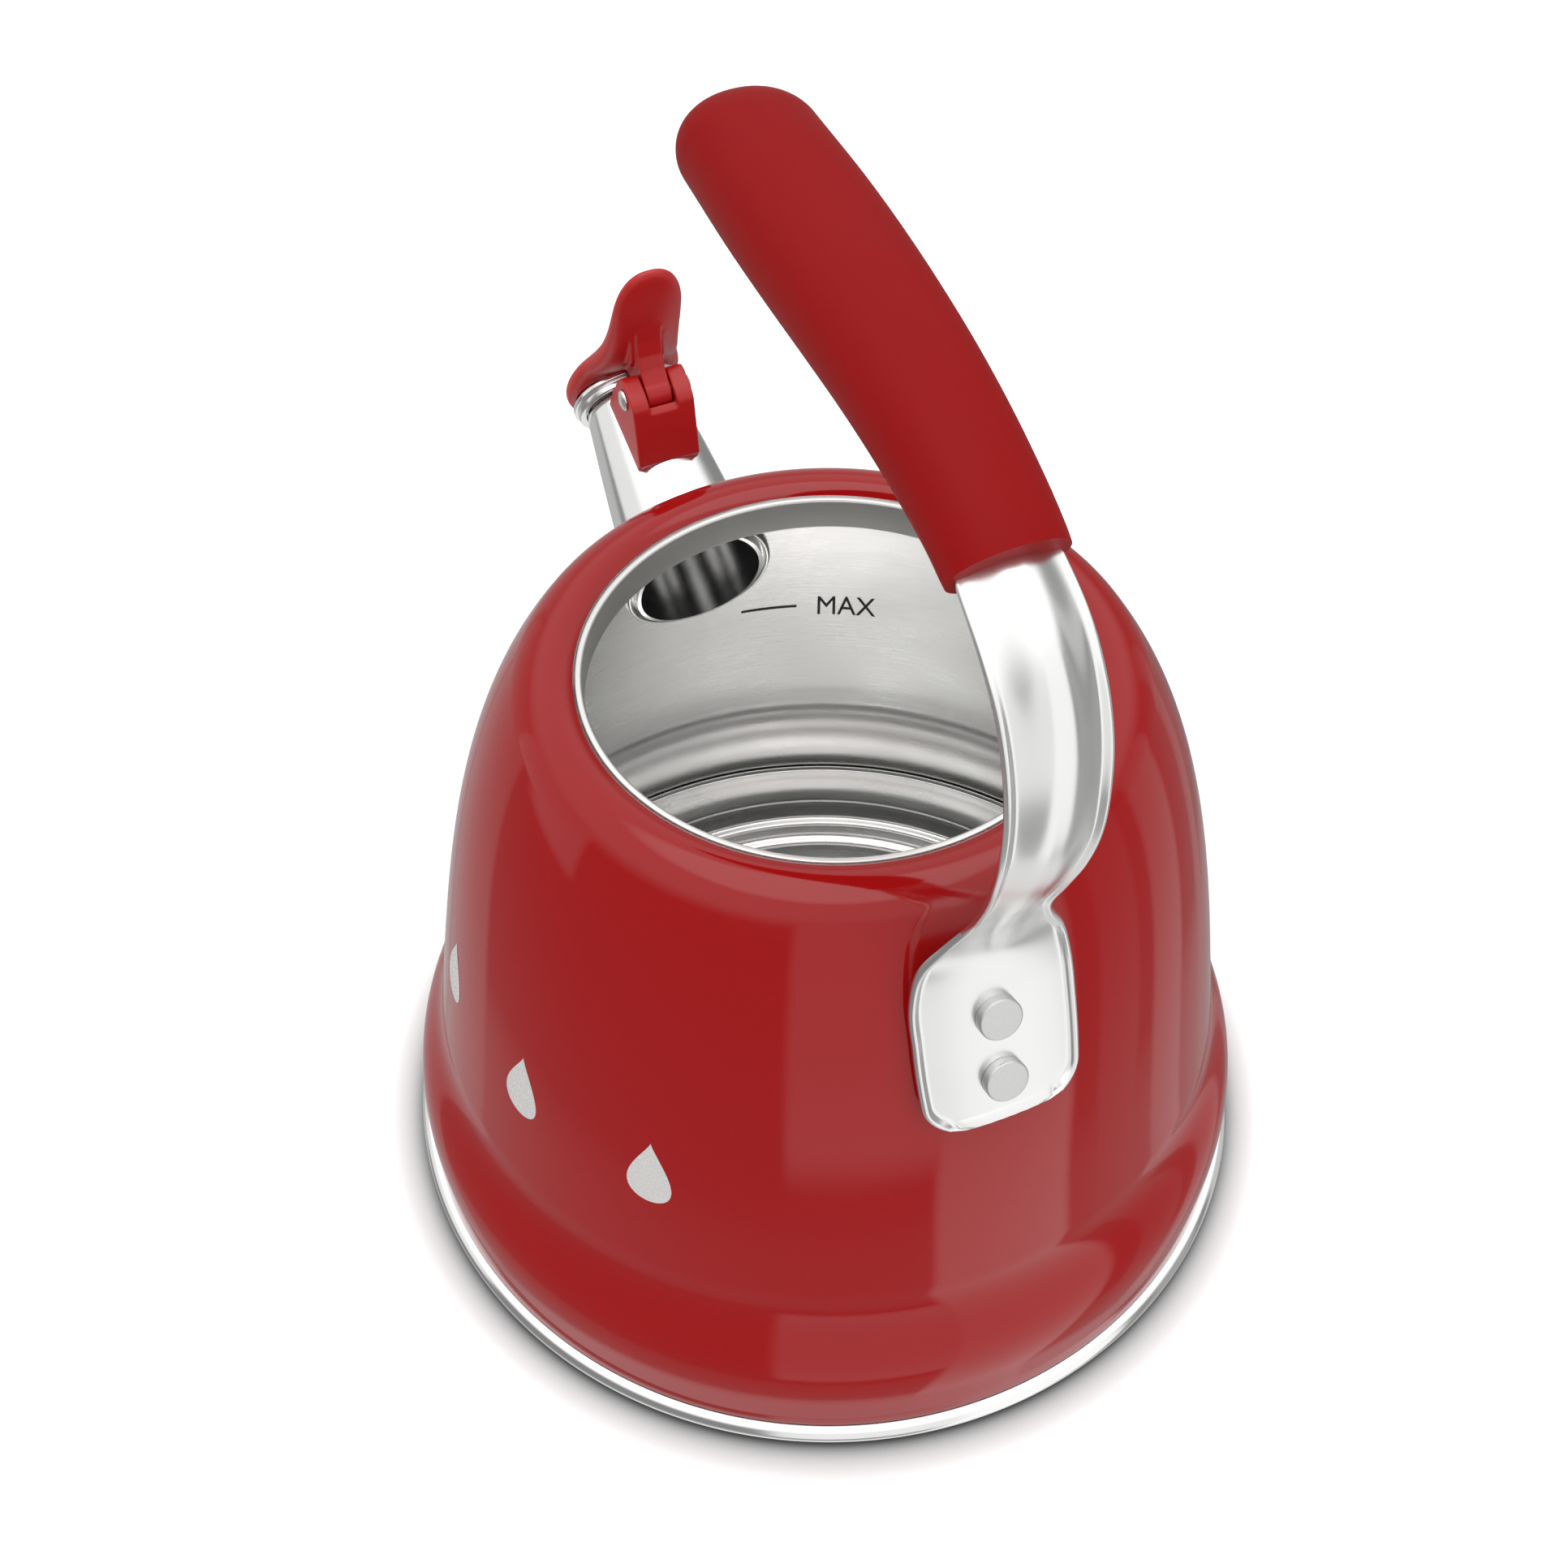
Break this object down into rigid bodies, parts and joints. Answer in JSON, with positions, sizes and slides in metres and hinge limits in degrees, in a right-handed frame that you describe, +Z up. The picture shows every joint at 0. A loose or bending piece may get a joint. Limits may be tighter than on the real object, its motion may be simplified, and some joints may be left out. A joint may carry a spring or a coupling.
{
  "type": "stovetop whistling kettle",
  "caption": "Enamelled steel stovetop kettle with an open neck, a tapered spout closed by a sprung whistle cap, and a riveted one-sided handle that arches over the top.",
  "frame": {"origin": "centre of the flat underside of the base, on the surface the kettle stands on", "axes": "+Z up, +X from the body's axis towards the handle's rivets, -X towards the spout"},
  "size_m": [0.2549, 0.22, 0.2746],
  "materials": {
    "red_enamel": "gloss vitreous enamel on pressed steel",
    "polished_steel": "mirror-polished stainless steel",
    "brushed_steel": "brushed stainless steel",
    "magnetic_steel": "ground ferritic stainless steel",
    "core_aluminium": "raw rolled plate",
    "spring_steel": "drawn spring wire",
    "rivet_steel": "satin stainless steel",
    "red_nylon": "satin moulded nylon",
    "core_nylon": "glass-filled nylon, as moulded",
    "red_silicone": "matt soft-touch silicone",
    "seal_silicone": "food-grade silicone"
  },
  "bodies": {
    "kettle": {"base_cap": "magnetic_steel", "base_core": "core_aluminium", "base_pan": "brushed_steel", "foot_ring": "polished_steel", "body_shell": "red_enamel", "neck_collar": "brushed_steel", "spout_tube": "polished_steel", "spout_flange": "polished_steel", "bracket_stud": "brushed_steel", "hinge_bracket": "red_nylon", "hinge_pin": "polished_steel", "return_spring": "spring_steel", "handle_strap": "polished_steel", "upper_rivet": "rivet_steel", "upper_rivet_washer": "rivet_steel", "lower_rivet": "rivet_steel", "lower_rivet_washer": "rivet_steel", "grip_core": "core_nylon", "handle_grip": "red_silicone"},
    "whistle": {"whistle_cap": "red_nylon", "whistle_cup": "polished_steel", "whistle_inner_disc": "brushed_steel", "whistle_outer_disc": "brushed_steel", "whistle_seal": "seal_silicone"}
  },
  "joints": [
    {"name": "whistle_hinge", "type": "hinge", "parent": "kettle", "child": "whistle", "pos_m": [-0.11114, 0, 0.15544], "axis": [0, 1, 0], "range_deg": [0, 60], "stiffness_Nm_per_rad": 0.08, "springref_deg": -28.65}
  ]
}
